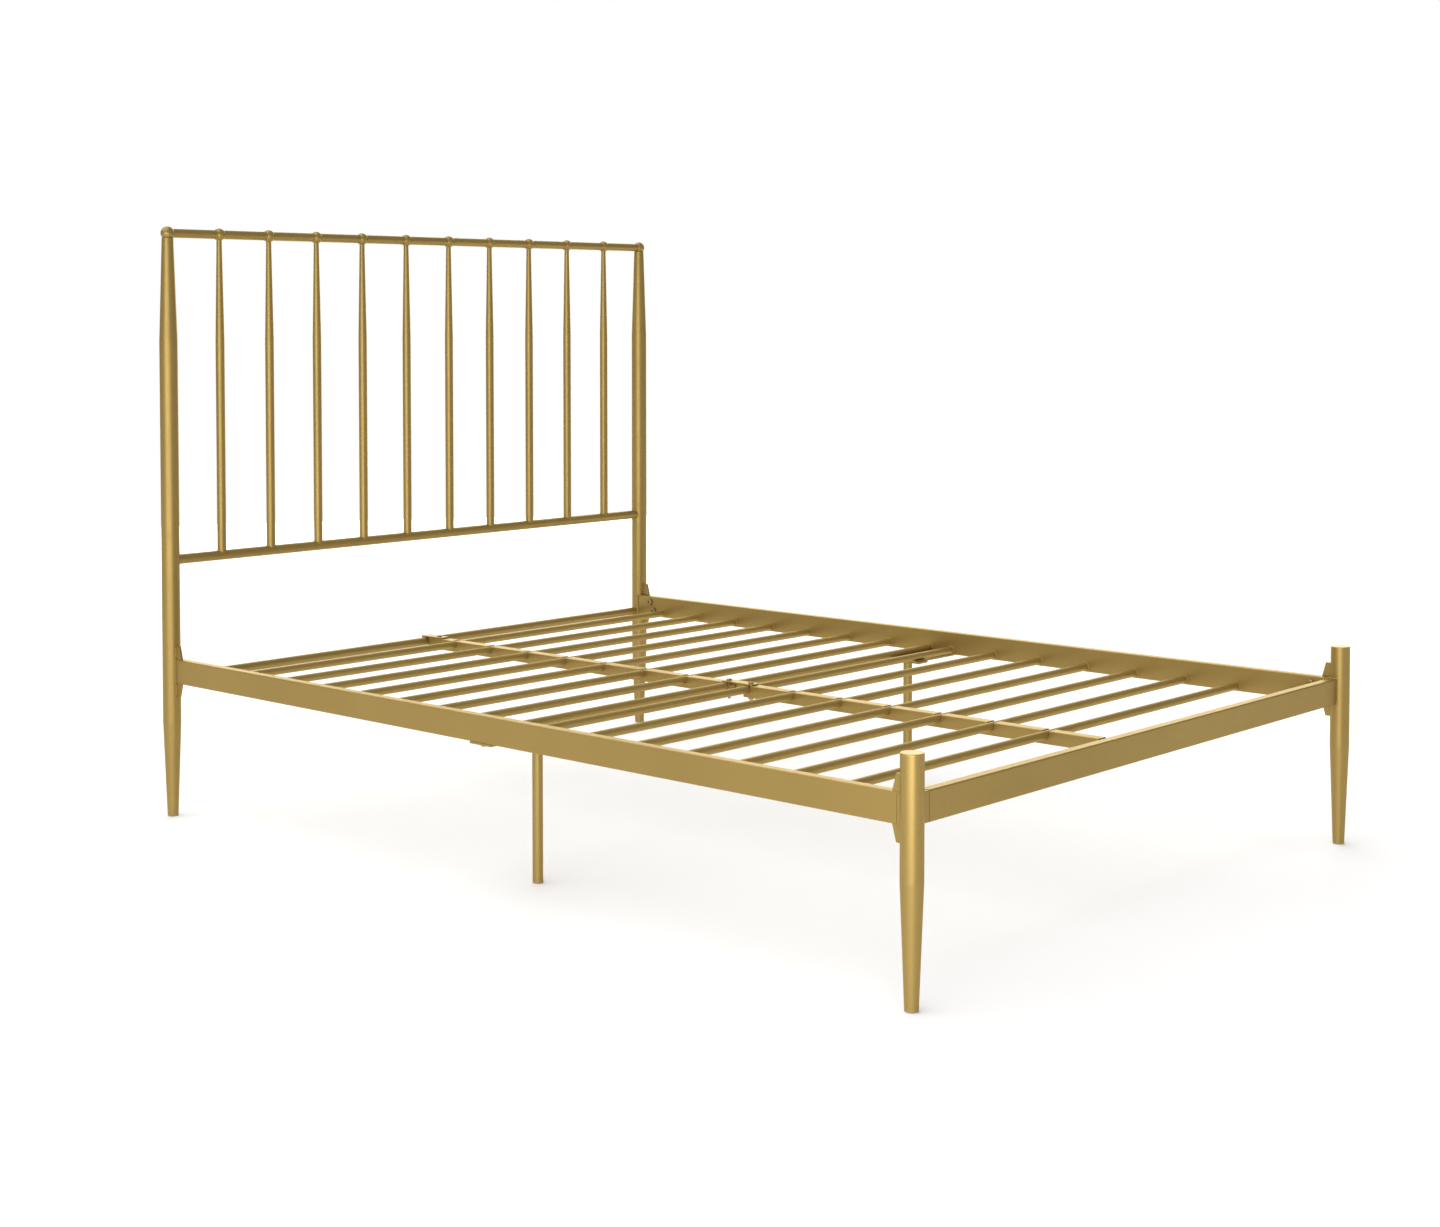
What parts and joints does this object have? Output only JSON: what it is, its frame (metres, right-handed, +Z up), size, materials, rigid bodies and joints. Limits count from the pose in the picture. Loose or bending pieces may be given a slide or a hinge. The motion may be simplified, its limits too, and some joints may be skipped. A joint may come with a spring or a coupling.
{
  "type": "metal bed frame",
  "caption": "Bed frame of gold-painted steel tube: a tall headboard of slim tapered spindles with round knuckles, low foot legs, side rails and a deck of round cross slats.",
  "frame": {"origin": "on the floor, at the middle of the bed's length and width", "axes": "+Y towards the headboard, +X to the right seen from the foot end, +Z up"},
  "size_m": [1.468, 1.9979, 1.2523],
  "materials": {
    "frame_paint": "satin gold powder coat",
    "slat_paint": "satin gold powder coat",
    "cap_metal": "satin gold, bright rim",
    "bolt_steel": "yellow zinc plate",
    "glide_plastic": "matte"
  },
  "bodies": {
    "root": {"centre_angle_foot": "frame_paint", "centre_hook_head": "frame_paint", "centre_rail_foot": "frame_paint", "centre_rail_head": "frame_paint", "centre_strap_middle": "frame_paint", "corner_bracket_foot_left": "frame_paint", "corner_bracket_foot_right": "frame_paint", "corner_bracket_head_left": "frame_paint", "corner_bracket_head_right": "frame_paint", "deck_bolts": "bolt_steel", "floor_glides": "glide_plastic", "foot_leg_cap_left": "cap_metal", "foot_leg_cap_right": "cap_metal", "foot_leg_left": "frame_paint", "foot_leg_right": "frame_paint", "foot_rail": "frame_paint", "foot_rail_stub_left": "frame_paint", "foot_rail_stub_right": "frame_paint", "head_finial_left": "frame_paint", "head_finial_right": "frame_paint", "head_post_left": "frame_paint", "head_post_right": "frame_paint", "headboard_base_bar": "frame_paint", "headboard_lower_bar": "frame_paint", "headboard_top_bar": "frame_paint", "rail_bolts": "bolt_steel", "side_rail_left": "frame_paint", "side_rail_right": "frame_paint", "slat_01": "slat_paint", "slat_02": "slat_paint", "slat_03": "slat_paint", "slat_04": "slat_paint", "slat_05": "slat_paint", "slat_06": "slat_paint", "slat_07": "slat_paint", "slat_08": "slat_paint", "slat_09": "slat_paint", "slat_10": "slat_paint", "slat_11": "slat_paint", "slat_12": "slat_paint", "slat_13": "slat_paint", "slat_14": "slat_paint", "slat_15": "slat_paint", "slat_16": "slat_paint", "spindle_01": "frame_paint", "spindle_02": "frame_paint", "spindle_03": "frame_paint", "spindle_04": "frame_paint", "spindle_05": "frame_paint", "spindle_06": "frame_paint", "spindle_07": "frame_paint", "spindle_08": "frame_paint", "spindle_09": "frame_paint", "spindle_10": "frame_paint", "spindle_knuckles": "frame_paint", "support_leg_left": "frame_paint", "support_leg_right": "frame_paint", "support_saddle_left": "frame_paint", "support_saddle_right": "frame_paint"}
  },
  "joints": []
}
